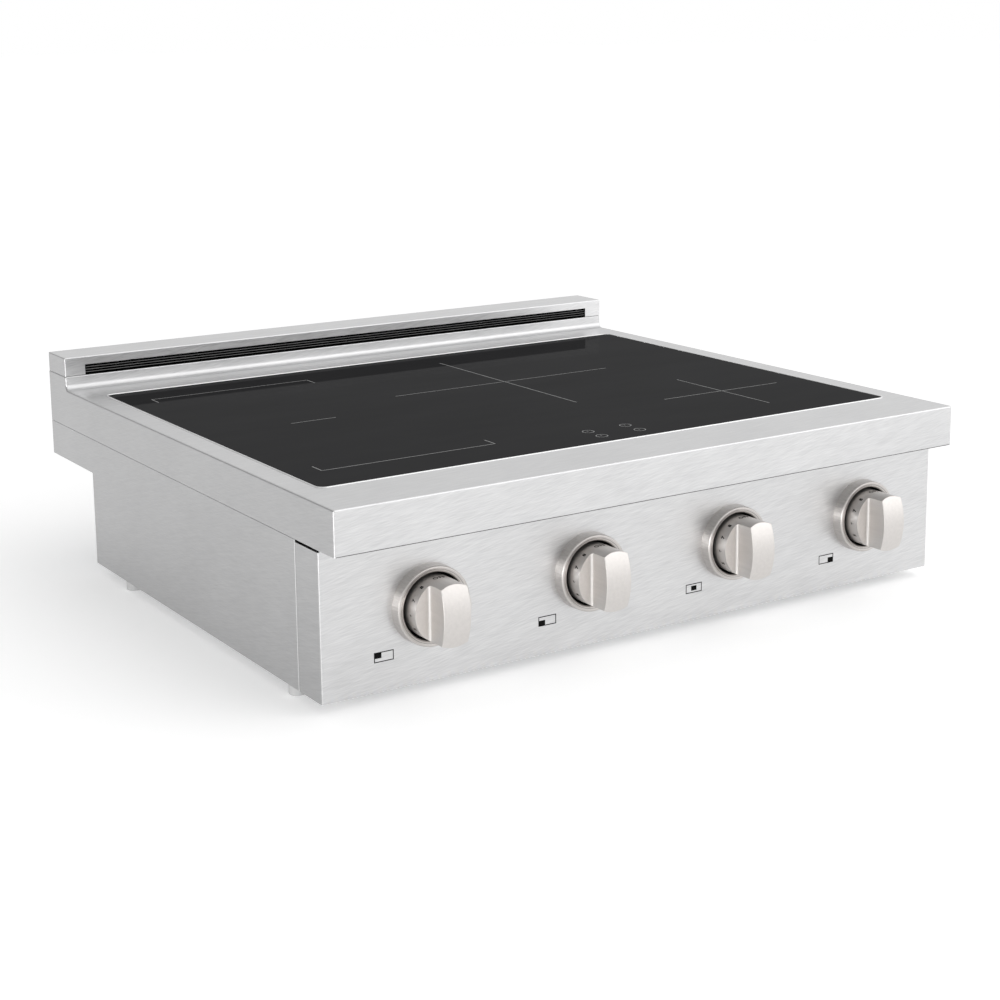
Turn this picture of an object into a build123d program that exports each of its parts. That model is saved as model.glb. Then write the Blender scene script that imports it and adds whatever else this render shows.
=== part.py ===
from build123d import *
import math
import os

# ---------------------------------------------------------------- driving dimensions (mm)
# Heights are given from the deck's top plane and depths from the tray's front edge,
# and Y() and Z() turn them into the part's own frame.
WIDTH = 759.0              # a 30 inch class cooktop, 29 7/8 in
TRAY_DEPTH = 706.0         # deck, front edge to back edge
SKIRT = 43.4               # folded edge of the deck
BODY_DROP = 188.4          # underside of the casing below the deck
PANEL_SETBACK = 31.4       # control panel behind the tray's front edge
PANEL_RETURN = 44.0        # control panel's side returns
PANEL_NOTCH = 2.6          # dark notch between the side return and the deck's skirt
PANEL_WING, PANEL_LIP = 40.0, 18.0     # bottom fold, at the corners and between them
LOWER_REAR = 581.0         # back of the lower casing
STEP_DROP = 83.3           # underside of the rear overhang below the deck
GUARD_DEPTH = 52.4         # backguard, front to back
GUARD_SEAM = 15.5          # riser's top, where the cap begins
GUARD_HEIGHT = 37.6        # cap's top above the deck
FOOT_HEIGHT = 11.0
FOOT_RADIUS = 8.5
SHEET = 1.5                # deck, cap and control panel
THIN = 1.2                 # side, rear and bottom sheets
BEND = 2.0                 # outside radius of the visible folds
COVE = 6.0                 # hollow curve between deck and riser
CAP_GAP = 0.4              # shadow line between the riser and the cap
RISER_ROUND = 1.2          # rounding of the riser's top edge
SKIRT_GAP = 0.4            # between the deck's skirt and the side panels
SLIP = 0.3                 # sheets that slide inside one another

KNOB_PITCH = 181.2
KNOB_SHIFT = 5.0           # the knobs sit right of centre, with their symbols to their left
KNOB_DROP = 113.0          # knob axes below the deck
KNOB_RADIUS = 30.0
KNOB_CROWN = 52.5          # highest point of the knob, out from the panel
KNOB_SHOULDER = 27.0       # floor of the side scoops, out from the panel
BEZEL_RADIUS = 39.0
BEZEL_BORE = 32.5
BEZEL_DEPTH = 12.4
BEZEL_HOLE, BEZEL_FLOOR = 9.0, 1.2
BLADE_ROOT, BLADE_TIP = 13.8, 15.0     # half thickness of the knob's blade
CROWN_RISE, CROWN_CHORD = 5.0, 26.0    # how far the knob's crown falls away, and over what
KNOB_EDGE = 0.8
PUSH_TRAVEL = 3.0
SHAFT_RADIUS = 3.0
CUP_RADIUS = 6.0
FIT = 0.05                 # radial clearance of the running fits

GLASS_HALF_X = 352.5       # opening in the deck
GLASS_FRONT, GLASS_BACK = 76.0, 598.5
GLASS_CORNER = 8.0
GLASS_THICK = 4.0
SEAL_GAP = 0.8
LEDGE = 15.0               # width of the shelf under the glass

VENT_HALF_X = 355.0
VENT_LOW, VENT_HIGH = 15.5, 27.7
VENT_BAR = 1.0             # thickness of the grille's long bars
VENT_RIB, VENT_RIB_PITCH = 12.0, 101.0
REAR_VENT_X, REAR_VENT_DROP = 110.0, 115.0     # rows of slots in the back
REAR_VENT_PITCH, REAR_VENT_ROW = 26.0, 14.0

CUP_FRONT, CUP_BACK = -4.0, -18.0      # ends of the push cup, out from the panel

WINDING_TOP, WINDING_LOW = -6.6, -12.0 # heights of the coil stack below the deck
WINDING_EYE = 26.0         # half width of the hole in each winding
TURNS = 9
GROOVE, GROOVE_DEPTH = 0.8, 1.6        # between the turns
CARRIER_LOW = -16.0
TRAY_TOP = -21.0
TRAY_HALF_X, TRAY_FRONT, TRAY_BACK = 340.0, 121.0, 592.0
TRAY_NOTCH = 150.0         # the tray is cut back to here round the touch board

BOARD = 1.6                # circuit board thickness
BOARD_LIFT = 10.0          # top of the power boards above the bottom plate
FINS, FIN, FIN_PITCH, SINK_HEIGHT = 13, 1.8, 8.0, 52.0
FAN_X, FAN_Y = 205.0, 505.0
FAN_RADIUS = 44.0
FAN_BLADES, BLADE_TILT = 7, 38.0
FOOT_X = 370.0
FOOT_FRONT, FOOT_REAR = 99.0, 495.0

SCREW_HEAD = 2.2           # the back's screw heads are the rearmost points
CASING_MID = 330.0         # depth of the hold-down pattern's centre
CONDUIT_X, CONDUIT_DROP = 305.0, 150.0
CONDUIT_RADIUS = 11.1      # 7/8 in knock-out
HOLD_DOWN_RADIUS = 3.3
HOLD_DOWN_X, HOLD_DOWN_Y = 640.0, 420.0

half = WIDTH / 2
front_y = -(TRAY_DEPTH + SCREW_HEAD - (KNOB_CROWN - PANEL_SETBACK)) / 2
deck_z = FOOT_HEIGHT + BODY_DROP
guard_y = TRAY_DEPTH - GUARD_DEPTH
floor_top = -BODY_DROP + 2 * THIN
knob_x = [(i - 1.5) * KNOB_PITCH + KNOB_SHIFT for i in range(4)]

# coil number: centre x, centre depth, half width, half depth (equal halves make a round coil)
coils = {
    1: (-222.5, 238.0, 92.0, 96.0),
    2: (-222.5, 442.0, 92.0, 96.0),
    3: (58.8, 400.4, 140.0, 140.0),
    4: (229.4, 210.0, 78.0, 78.0),
}
sides = {"left": -1, "right": 1}


def Y(depth):
    return depth + front_y


def Z(height):
    return height + deck_z


def slab(x0, x1, y0, y1, z0, z1):
    """A block between two corners, in depths and heights of the tray."""
    size = (abs(x1 - x0), abs(y1 - y0), abs(z1 - z0))
    centre = ((x0 + x1) / 2, Y((y0 + y1) / 2), Z((z0 + z1) / 2))
    return Pos(*centre) * Box(*size)


def upright(x, y, z0, z1, radius):
    """A vertical cylinder from one height to another."""
    return Pos(x, Y(y), Z((z0 + z1) / 2)) * Cylinder(radius, abs(z1 - z0))


def along_y(x, z, y0, y1, radius):
    """A cylinder that lies front to back."""
    return Pos(x, Y((y0 + y1) / 2), Z(z)) * Rot(90, 0, 0) * Cylinder(radius, abs(y1 - y0))


def rounded(cx, cy, half_x, half_y, corner, z0, z1):
    """A rounded rectangular plate lying flat."""
    outline = Pos(cx, Y(cy), Z(z0)) * RectangleRounded(2 * half_x, 2 * half_y, corner)
    return extrude(outline, z1 - z0)


def glass_plate(grow, z0, z1):
    """The glass opening's outline, grown or shrunk, as a plate."""
    half_y = (GLASS_BACK - GLASS_FRONT) / 2
    centre_y = (GLASS_BACK + GLASS_FRONT) / 2
    corner = max(GLASS_CORNER + grow, 2)
    return rounded(0, centre_y, GLASS_HALF_X + grow, half_y + grow, corner, z0, z1)


def save(node, shape):
    export_step(shape, f"parts/{node}.step")


# ---------------------------------------------------------------- casing
def deck_profile(inset, bottom):
    """Deck, cove and riser seen from the side; inset moves it to the sheet's inner face."""
    radius = COVE + inset
    start = Vector(0, Y(guard_y - COVE), Z(-inset))
    end = Vector(0, Y(guard_y + inset), Z(COVE))
    centre = Vector(0, Y(guard_y - COVE), Z(COVE))
    turn = math.radians(45)
    middle = centre + Vector(0, radius * math.sin(turn), -radius * math.cos(turn))
    top = Vector(0, Y(guard_y + inset), Z(GUARD_SEAM + inset))
    back = TRAY_DEPTH + inset
    edges = [
        Line((0, Y(inset), Z(bottom)), (0, Y(inset), Z(-inset))),
        Line((0, Y(inset), Z(-inset)), start),
        ThreePointArc(start, middle, end),
        Line(end, top),
        Line(top, (0, Y(back), Z(GUARD_SEAM + inset))),
        Line((0, Y(back), Z(GUARD_SEAM + inset)), (0, Y(back), Z(bottom))),
        Line((0, Y(back), Z(bottom)), (0, Y(inset), Z(bottom))),
    ]
    return make_face(Wire(edges))


def top_deck():
    deck = extrude(deck_profile(0, -SKIRT), half, dir=(1, 0, 0), both=True)
    front_corners = deck.edges().filter_by(Axis.Z).group_by(Axis.Y)[0]
    deck = fillet(front_corners, BEND)
    guard_line = Y(guard_y) + 0.1
    folds = [e for e in deck.edges()
             if e.center().Z > deck_z - 0.01 and e.center().Y < guard_line
             and not (abs(e.center().X) < 1 and e.center().Y > Y(1))]
    deck = fillet(folds, BEND * 0.9)
    riser_top = [e for e in deck.edges() if abs(e.center().Z - Z(GUARD_SEAM)) < 0.01
                 and abs(e.center().Y - Y(guard_y)) < 0.01 and abs(e.center().X) < 1]
    deck = fillet(riser_top, RISER_ROUND)
    inner = extrude(deck_profile(SHEET, -SKIRT - 1), half - SHEET, dir=(1, 0, 0), both=True)
    deck -= inner
    rim = glass_plate(SHEET, -SHEET - GLASS_THICK - 1.0, -SHEET / 2)
    deck += rim
    deck -= glass_plate(0, -GLASS_THICK - 1.0, 1)
    rim_edges = [e for e in deck.edges() if abs(e.center().Z - deck_z) < 0.01
                 and abs(e.center().X) < GLASS_HALF_X + 0.1 and Y(1) < e.center().Y < Y(GLASS_BACK + 1)]
    deck = chamfer(rim_edges, 0.7)
    deck -= glass_plate(-LEDGE, -20, 1)
    deck += slab(-half + SHEET, half - SHEET, SHEET / 2, PANEL_SETBACK - 0.5, -SKIRT, -SKIRT + SHEET)
    return deck


def glass_seal():
    """Silicone bead round the glass and the bed that it lies on."""
    bead = glass_plate(0, -GLASS_THICK - 1.0, -0.6) - glass_plate(-SEAL_GAP, -GLASS_THICK, 1)
    return bead - glass_plate(-LEDGE, -10, 1)


def glass_top():
    glass = glass_plate(-SEAL_GAP, -GLASS_THICK, 0)
    return chamfer(glass.edges().group_by(Axis.Z)[-1], 0.5)


def backguard_cap():
    cap = slab(-half, half, guard_y, TRAY_DEPTH, GUARD_SEAM + CAP_GAP, GUARD_HEIGHT)
    upper = cap.faces().sort_by(Axis.Z)[-1].edges()
    corners = cap.edges().filter_by(Axis.Z)
    cap = fillet(upper + corners, BEND * 0.7)
    cap -= slab(-half + SHEET, half - SHEET, guard_y + SHEET, TRAY_DEPTH - SHEET,
                GUARD_SEAM - 1, GUARD_HEIGHT - SHEET)
    return cap - slab(-VENT_HALF_X, VENT_HALF_X, guard_y - 1, guard_y + 2 * SHEET, VENT_LOW - 1, VENT_HIGH)


def vent_grille():
    """Black insert: a thin frame, three long bars and upright ribs behind them."""
    low, high = VENT_LOW + 0.2, VENT_HIGH - 0.2
    y0, y1 = guard_y + SHEET + 0.2, guard_y + 12
    end = VENT_HALF_X - 0.2
    grille = slab(-end, end, y0, y1, low, low + 0.8) + slab(-end, end, y0, y1, high - 0.8, high)
    for side in (-1, 1):
        grille += slab(side * end, side * (end - 1.2), y0, y1, low, high)
    pitch = (high - low) / 4
    for bar in range(1, 4):
        z = low + bar * pitch
        grille += slab(-end, end, y0, y1 - 2, z - VENT_BAR / 2, z + VENT_BAR / 2)
    for rib in range(-3, 4):
        x = rib * VENT_RIB_PITCH
        grille += slab(x - VENT_RIB / 2, x + VENT_RIB / 2, y0 + 1.0, y1, low, high)
    return grille


def side_panel(side):
    """Side sheet with a tab behind the deck's skirt and a lip along the bottom."""
    outer, inner = side * half, side * (half - THIN)
    seam = PANEL_SETBACK + PANEL_RETURN + 0.5
    top = -SKIRT - SKIRT_GAP
    panel = slab(inner, outer, seam, LOWER_REAR, -BODY_DROP, top)
    panel += slab(inner, outer, LOWER_REAR - 5, TRAY_DEPTH, -STEP_DROP, top)
    tab = side * (half - SHEET - 0.2 - THIN)
    panel += slab(tab, inner, seam + 20, TRAY_DEPTH - 60, top - 14, top)
    panel += slab(tab, side * (half - SHEET - 0.2), seam + 20, TRAY_DEPTH - 60, top - 14, top + 28)
    lip = side * (half - 16)
    panel += slab(lip, outer, seam, LOWER_REAR - THIN - 0.2, -BODY_DROP, -BODY_DROP + THIN)
    panel += slab(lip, outer, LOWER_REAR + 0.2, TRAY_DEPTH - 3, -STEP_DROP, -STEP_DROP + THIN)
    return panel


def control_panel():
    """Front sheet folded back at both sides, along the bottom and under the deck."""
    panel_front, panel_back = PANEL_SETBACK, PANEL_SETBACK + PANEL_RETURN
    panel = slab(-half, half, panel_front, panel_back, -BODY_DROP, -SKIRT - PANEL_NOTCH)
    panel = fillet(panel.edges().filter_by(Axis.Z).group_by(Axis.Y)[0], BEND)
    panel -= slab(-half + SHEET, half - SHEET, panel_front + SHEET, panel_back + 1,
                  -BODY_DROP + SHEET, 0)
    inner = half - PANEL_WING
    panel -= slab(-inner, inner, panel_front + PANEL_LIP, panel_back + 1, -BODY_DROP - 1, -100)
    panel += slab(-half + BEND, half - BEND, panel_front, panel_front + SHEET, -80, -SKIRT)
    panel += slab(-half + BEND, half - BEND, panel_front, panel_front + 14, -SKIRT - SHEET, -SKIRT)
    for x in knob_x:
        panel -= along_y(x, -KNOB_DROP, panel_front - 1, panel_front + 3, CUP_RADIUS + 2)
    return panel


def rear_panel():
    """Lower back, the overhang's floor and the upper back, bent from one sheet."""
    inside = half - SHEET - SLIP
    panel = slab(-inside, inside, LOWER_REAR - THIN, LOWER_REAR, -BODY_DROP, -STEP_DROP + 2 * THIN)
    panel += slab(-inside, inside, LOWER_REAR - THIN, TRAY_DEPTH, -STEP_DROP + THIN, -STEP_DROP + 2 * THIN)
    panel += slab(-inside, inside, TRAY_DEPTH - THIN, TRAY_DEPTH, -STEP_DROP + THIN, GUARD_SEAM)
    panel -= along_y(CONDUIT_X, -CONDUIT_DROP, LOWER_REAR - 3, LOWER_REAR + 1, CONDUIT_RADIUS)
    for side in (-1, 1):
        for row in range(4):
            for col in range(6):
                x = side * REAR_VENT_X + (col - 2.5) * REAR_VENT_PITCH
                z = -REAR_VENT_DROP - row * REAR_VENT_ROW
                panel -= slab(x - 10, x + 10, LOWER_REAR - 3, LOWER_REAR + 1, z - 2, z + 2)
    return panel


def bottom_plate():
    low = -BODY_DROP + THIN
    front_edge = PANEL_SETBACK + PANEL_RETURN - 16
    inside = half - SHEET - SLIP
    plate = slab(-inside, inside, front_edge + 18, LOWER_REAR - THIN - 0.2, low, low + THIN)
    plate += slab(-half + 41, half - 41, PANEL_SETBACK + 19, front_edge + 19, low, low + THIN)
    for side in (-1, 1):
        for row in range(9):
            for column in (-1, 1):
                x = side * FAN_X + column * 22
                y = FAN_Y + (row - 4) * 10
                plate -= slab(x - 17, x + 17, y - 2, y + 2, low - 1, low + 3)
        for depth in (-1, 1):
            x, y = side * HOLD_DOWN_X / 2, CASING_MID + depth * HOLD_DOWN_Y / 2
            plate -= upright(x, y, low - 1, low + 3, HOLD_DOWN_RADIUS)
    return plate


def feet():
    foot = Cylinder(FOOT_RADIUS, FOOT_HEIGHT)
    foot = fillet(foot.edges().group_by(Axis.Z)[0], 1.0)
    low = -BODY_DROP - FOOT_HEIGHT / 2
    places = [(side * FOOT_X, y) for side in (-1, 1) for y in (FOOT_FRONT, FOOT_REAR)]
    return Compound(children=[Pos(x, Y(y), Z(low)) * foot for x, y in places])


def pan_screw(length):
    head = Pos(0, 0, SCREW_HEAD / 2) * Cylinder(3.6, SCREW_HEAD)
    head = fillet(head.edges().group_by(Axis.Z)[-1], 1.2)
    head -= Pos(0, 0, 1.9) * Box(4.2, 0.9, 1.2)
    head -= Pos(0, 0, 1.9) * Box(0.9, 4.2, 1.2)
    return head + Pos(0, 0, -length / 2) * Cylinder(1.6, length)


def screw_places():
    """Heads under the casing's lips and on its back, with the way each screw points."""
    under = [(side * (half - 9), y, -BODY_DROP) for side in (-1, 1) for y in (150, 250, 400, 550)]
    back = [(x, LOWER_REAR, -BODY_DROP + 30) for x in (-340, -200, 200, 340)]
    upper = [(x, TRAY_DEPTH, -30) for x in (-340, -120, 120, 340)]
    return [(p, Rot(180, 0, 0)) for p in under] + [(p, Rot(-90, 0, 0)) for p in back + upper]


def chassis_screws():
    screw = pan_screw(6)
    return Compound(children=[Pos(x, Y(y), Z(z)) * turn * screw
                              for (x, y, z), turn in screw_places()])


def screw_holes(sheet):
    for (x, y, z), turn in screw_places():
        sheet -= Pos(x, Y(y), Z(z)) * turn * Cylinder(1.6, 20)
    return sheet


# ---------------------------------------------------------------- knobs and their controls
def on_panel(i, shape):
    """Stands a shape built along +Z out of the control panel, at knob i."""
    return Pos(knob_x[i], Y(PANEL_SETBACK), Z(-KNOB_DROP)) * Rot(90, 0, 0) * shape


def turned(points):
    """A ring or disc turned about the Z axis from (radius, height) points."""
    outline = make_face(Polyline(*[(r, 0, z) for r, z in points], close=True))
    return revolve(outline, Axis.Z)


def bezel():
    """A dished ring with a domed rim and a floor that the knob's shaft passes."""
    d = BEZEL_DEPTH
    outer = [(BEZEL_RADIUS, 0), (BEZEL_RADIUS - 0.5, d - 1.2), (BEZEL_RADIUS - 1.2, d - 0.3)]
    rim = [(BEZEL_RADIUS - 2.0, d), (BEZEL_BORE + 1.5, d - 0.5), (BEZEL_BORE + 0.5, d - 1.2)]
    inner = [(BEZEL_BORE, d - 2.4), (BEZEL_BORE, BEZEL_FLOOR)]
    return turned([(BEZEL_HOLE, 0)] + outer + rim + inner + [(BEZEL_HOLE, BEZEL_FLOOR)])


def scoop():
    """What is cut from one side of the knob to leave the blade."""
    root, tip = BLADE_ROOT, BLADE_TIP
    floor_z = KNOB_SHOULDER
    corner = 3.0
    far = KNOB_RADIUS + 3
    top = KNOB_CROWN + 3
    a, b = (root + corner, 0, floor_z), (root, 0, floor_z + corner)
    bend = corner * (1 - math.sqrt(0.5))
    c = (tip, 0, top)
    lean = (root - 0.1, 0, (floor_z + corner + top) / 2)
    edges = [
        Line((far, 0, floor_z + 0.8), a),
        ThreePointArc(a, (root + bend, 0, floor_z + bend), b),
        ThreePointArc(b, lean, c),
        Line(c, (far, 0, top)),
        Line((far, 0, top), (far, 0, floor_z + 0.8)),
    ]
    return extrude(make_face(Wire(edges)), KNOB_RADIUS + 5, dir=(0, 1, 0), both=True)


def knob():
    base = PUSH_TRAVEL + 2.0
    crown_radius = (CROWN_CHORD ** 2 + CROWN_RISE ** 2) / (2 * CROWN_RISE)
    body = Pos(0, 0, (base + KNOB_CROWN) / 2) * Cylinder(KNOB_RADIUS, KNOB_CROWN - base)
    dome = Pos(0, 0, KNOB_CROWN - crown_radius) * Rot(0, 90, 0) * Cylinder(crown_radius, 80)
    body = body & dome
    cut = scoop()
    body -= cut
    body -= mirror(cut, Plane.YZ)
    front_edges = [e for e in body.edges() if e.center().Z > KNOB_CROWN - 8]
    body = fillet(front_edges, KNOB_EDGE)
    hollow = Pos(0, 0, base + 8) * Cylinder(KNOB_RADIUS - 2.5, 16.01)
    hub = Pos(0, 0, base + 9) * Cylinder(7, 18)
    body -= hollow - hub
    return body - Pos(0, 0, base + 13) * Cylinder(SHAFT_RADIUS, 26.02)


def knob_shaft():
    """Steel shaft with a collar each side of the push cup."""
    tip, tail = 30.0, -30.0
    shaft = Pos(0, 0, (tip + tail) / 2) * Cylinder(SHAFT_RADIUS, tip - tail)
    shaft += Pos(0, 0, CUP_FRONT + 1.05) * Cylinder(4.6, 1.5)
    shaft += Pos(0, 0, CUP_BACK - 1.05) * Cylinder(4.6, 1.5)
    return shaft


def thrust_cup():
    """Sleeve that takes the push and slides in the encoder's bush."""
    cup = Pos(0, 0, (CUP_FRONT + CUP_BACK) / 2) * Cylinder(CUP_RADIUS, CUP_FRONT - CUP_BACK)
    return cup - Pos(0, 0, -10) * Cylinder(SHAFT_RADIUS + FIT, 40)


def encoder():
    """Switch body with two screw ears and a bush for the push cup."""
    case = Pos(0, 0, -15.5) * Box(30, 34, 25)
    case = fillet(case.edges().filter_by(Axis.Z), 2)
    ears = Pos(0, 0, -2.5) * Box(44, 20, 2)
    for side in (-1, 1):
        ears -= Pos(side * 18, 0, 0) * Cylinder(2, 20)
    case += ears
    case -= Pos(0, 0, -12) * Cylinder(CUP_RADIUS + FIT, 26)
    return case - Pos(0, 0, -20) * Cylinder(5.2, 30)


def control_board():
    """Upright board behind the encoders, with a connector at each and five chips."""
    y0 = PANEL_SETBACK + 28.2
    back = y0 + BOARD
    board = slab(-320, 320, y0, back, -150, -80)
    for x in knob_x:
        board -= along_y(x, -KNOB_DROP, y0 - 1, y0 + 3, 8)
        board += slab(x + 30, x + 52, back, back + 4, -140, -118)
    for n in range(5):
        x = (n - 2) * 34
        board += slab(x - 9, x + 9, back, back + 2.5, -100, -86)
    return board


# ---------------------------------------------------------------- coils
def coil_disc(number, grow, z0, z1):
    cx, cy, half_x, half_y = coils[number]
    round_coil = half_x == half_y
    if round_coil:
        return upright(cx, cy, z0, z1, half_x + grow)
    corner = max(34 + grow, 6)
    return rounded(cx, cy, half_x + grow, half_y + grow, corner, z0, z1)


def coil_carrier(number):
    cx, cy, _, _ = coils[number]
    carrier = coil_disc(number, 4, CARRIER_LOW, WINDING_LOW)
    carrier += coil_disc(number, 4, WINDING_LOW, WINDING_TOP) - coil_disc(number, 0.4, WINDING_LOW, 0)
    carrier -= upright(cx, cy, CARRIER_LOW - 1, 0, 14)
    return carrier


def coil_winding(number):
    """Litz winding, with a groove between each pair of turns."""
    half_x = coils[number][2]
    inner = WINDING_EYE - half_x
    winding = coil_disc(number, 0, WINDING_LOW, WINDING_TOP) - coil_disc(number, inner, -20, 0)
    step = (half_x - WINDING_EYE) / TURNS
    for turn in range(1, TURNS):
        grow = -turn * step
        groove = coil_disc(number, grow + GROOVE / 2, WINDING_TOP - GROOVE_DEPTH, 0)
        winding -= groove - coil_disc(number, grow - GROOVE / 2, -20, 1)
    return winding


def ferrite_bars(number):
    cx, cy, half_x, half_y = coils[number]
    reach = min(half_x, half_y) - 4
    bars = []
    count = 8 if half_x > 85 else 6
    for n in range(count):
        turn = Pos(cx, Y(cy), Z((CARRIER_LOW + TRAY_TOP) / 2)) * Rot(0, 0, n * 360 / count)
        length = reach - 24
        bars.append(turn * Pos(24 + length / 2, 0, 0) * Box(length, 14, CARRIER_LOW - TRAY_TOP))
    return Compound(children=bars)


def mica_sheets():
    return Compound(children=[coil_disc(n, 2, WINDING_TOP, WINDING_TOP + 0.8)
                              - upright(coils[n][0], coils[n][1], -10, 0, 8) for n in coils])


def coil_sensors():
    """Spring-loaded thermistor in each coil's centre, touching the glass."""
    sensors = []
    for cx, cy, _, _ in coils.values():
        sensor = upright(cx, cy, TRAY_TOP, -8, 4.5) + upright(cx, cy, -8.5, -GLASS_THICK, 3.0)
        sensors.append(sensor + upright(cx, cy, TRAY_TOP, TRAY_TOP + 2, 9))
    return Compound(children=sensors)


def coil_tray():
    """Shelf that carries the coils, hung from the rim round the glass."""
    low = TRAY_TOP - THIN
    hung_from = -GLASS_THICK - 1 - SHEET
    tray = slab(-TRAY_HALF_X, TRAY_HALF_X, TRAY_NOTCH, TRAY_BACK, low, TRAY_TOP)
    for side in (-1, 1):
        edge = side * TRAY_HALF_X
        tray += slab(edge, edge + side * THIN, TRAY_NOTCH, TRAY_BACK, low, hung_from)
        tray += slab(side * 95, edge, TRAY_FRONT, TRAY_NOTCH, low, TRAY_TOP)
    for x in (-110, 160):
        tray -= upright(x, 560, TRAY_TOP - 3, 0, 14)
    return tray


def touch_board():
    """Board under the glass's four touch keys, with a sprung pad at each."""
    board = slab(-60, 75, 92, 140, -9.0, -7.4)
    for x, y in ((-17, 126), (-17, 102), (32, 128), (32, 103)):
        board += upright(x, y, -7.4, -GLASS_THICK, 6)
    return board


# ---------------------------------------------------------------- power electronics
def power_board(side):
    """Board on four posts, with its capacitors, choke and relay."""
    cx = side * FAN_X
    top = floor_top + BOARD_LIFT
    board = slab(cx - 115, cx + 115, 230, 430, top - BOARD, top)
    for dx in (-105, 105):
        for y in (240, 420):
            board += upright(cx + dx, y, floor_top, top - BOARD, 4)
    for n in range(3):
        x = cx - side * (92 - n * 30)
        board += upright(x, 262, top, top + 34, 12)
    board += slab(cx + side * 40, cx + side * 92, 242, 286, top, top + 38)
    board += slab(cx - 96, cx - 60, 385, 420, top, top + 26)
    return board


def heatsink(side):
    """Finned aluminium block in the fan's stream."""
    cx = side * FAN_X
    low = floor_top + BOARD_LIFT
    sink = slab(cx - 50, cx + 50, 298, 428, low, low + 8)
    for n in range(FINS):
        x = cx - 48 + n * FIN_PITCH
        sink += slab(x - FIN / 2, x + FIN / 2, 298, 428, low + 7, low + SINK_HEIGHT)
    return sink


def fan_frame(side):
    """Square frame with four struts, a motor plate and the rotor's pin."""
    cx, low = side * FAN_X, floor_top
    frame = rounded(cx, FAN_Y, 50, 50, 6, low, low + 32)
    frame -= upright(cx, FAN_Y, low - 1, low + 40, FAN_RADIUS + 2)
    for n in range(4):
        strut = Pos(cx, Y(FAN_Y), Z(low + 2)) * Rot(0, 0, 45 + 90 * n) * Pos(32, 0, 0) * Box(32, 6, 4)
        frame += strut
    frame += upright(cx, FAN_Y, low, low + 4, 18)
    for dx in (-43, 43):
        for dy in (-43, 43):
            frame -= upright(cx + dx, FAN_Y + dy, low - 1, low + 40, 2.2)
    frame += upright(cx, FAN_Y, low + 3, low + 16, 2.0)
    return frame


def fan_rotor(side):
    cx, low = side * FAN_X, floor_top + 5
    hub = Pos(cx, Y(FAN_Y), Z(low)) * Pos(0, 0, 12) * Cylinder(19, 24)
    hub -= Pos(cx, Y(FAN_Y), Z(low)) * Pos(0, 0, 5) * Cylinder(2.0 + FIT, 14)
    for n in range(FAN_BLADES):
        turn = Pos(cx, Y(FAN_Y), Z(low)) * Rot(0, 0, n * 360 / FAN_BLADES)
        hub += turn * Pos(30.5, 0, 12) * Rot(BLADE_TILT, 0, 0) * Box(25, 26, 1.8)
    return hub


def terminal_block():
    block = slab(275, 335, 530, 560, floor_top, floor_top + 12)
    for n in range(4):
        x = 282 + n * 15.3
        block += slab(x - 6, x + 6, 532, 558, floor_top + 12, floor_top + 22)
        block -= upright(x, 545, floor_top + 14, floor_top + 30, 3)
    return block


def filter_board():
    """Mains filter: a board on four posts with a capacitor and a wound choke."""
    top = floor_top + 8
    board = slab(-60, 60, 470, 560, top - BOARD, top)
    for dx in (-52, 52):
        for y in (478, 552):
            board += upright(dx, y, floor_top, top - BOARD, 4)
    board += slab(-46, -6, 490, 530, top, top + 30)
    board += upright(26, 512, top, top + 26, 19)
    return board


# ---------------------------------------------------------------- all nodes
os.makedirs("parts", exist_ok=True)
save("top_deck", top_deck())
save("glass_seal", glass_seal())
save("glass_top", glass_top())
save("backguard_cap", backguard_cap())
save("vent_grille", vent_grille())
for name, side in sides.items():
    save(f"side_panel_{name}", screw_holes(side_panel(side)))
    save(f"power_board_{name}", power_board(side))
    save(f"heatsink_{name}", heatsink(side))
    save(f"fan_frame_{name}", fan_frame(side))
    save(f"fan_rotor_{name}", fan_rotor(side))
save("control_panel", control_panel())
save("rear_panel", screw_holes(rear_panel()))
save("bottom_plate", screw_holes(bottom_plate()))
save("feet", feet())
save("chassis_screws", chassis_screws())
for i in range(4):
    save(f"bezel_{i + 1}", on_panel(i, bezel()))
    save(f"knob_{i + 1}", on_panel(i, knob()))
    save(f"knob_shaft_{i + 1}", on_panel(i, knob_shaft()))
    save(f"thrust_cup_{i + 1}", on_panel(i, thrust_cup()))
    save(f"encoder_{i + 1}", on_panel(i, encoder()))
for n in coils:
    save(f"coil_carrier_{n}", coil_carrier(n))
    save(f"coil_winding_{n}", coil_winding(n))
    save(f"ferrite_bars_{n}", ferrite_bars(n))
save("mica_sheets", mica_sheets())
save("coil_sensors", coil_sensors())
save("coil_tray", coil_tray())
save("touch_board", touch_board())
save("control_board", control_board())
save("terminal_block", terminal_block())
save("filter_board", filter_board())
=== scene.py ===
import math

import bmesh
import bpy
from mathutils import Matrix, Vector


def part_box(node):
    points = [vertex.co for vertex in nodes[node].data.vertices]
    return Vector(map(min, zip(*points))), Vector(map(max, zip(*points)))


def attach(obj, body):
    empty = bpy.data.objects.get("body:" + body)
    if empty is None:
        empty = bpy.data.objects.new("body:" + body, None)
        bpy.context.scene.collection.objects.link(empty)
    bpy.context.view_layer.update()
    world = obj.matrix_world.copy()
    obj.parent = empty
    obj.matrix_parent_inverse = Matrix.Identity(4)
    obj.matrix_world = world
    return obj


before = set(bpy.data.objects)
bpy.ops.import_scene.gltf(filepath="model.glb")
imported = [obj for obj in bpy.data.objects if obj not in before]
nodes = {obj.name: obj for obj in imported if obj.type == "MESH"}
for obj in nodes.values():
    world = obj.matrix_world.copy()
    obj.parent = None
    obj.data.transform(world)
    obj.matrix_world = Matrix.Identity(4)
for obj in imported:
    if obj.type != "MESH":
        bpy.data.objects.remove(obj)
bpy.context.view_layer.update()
scene = bpy.context.scene

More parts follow.
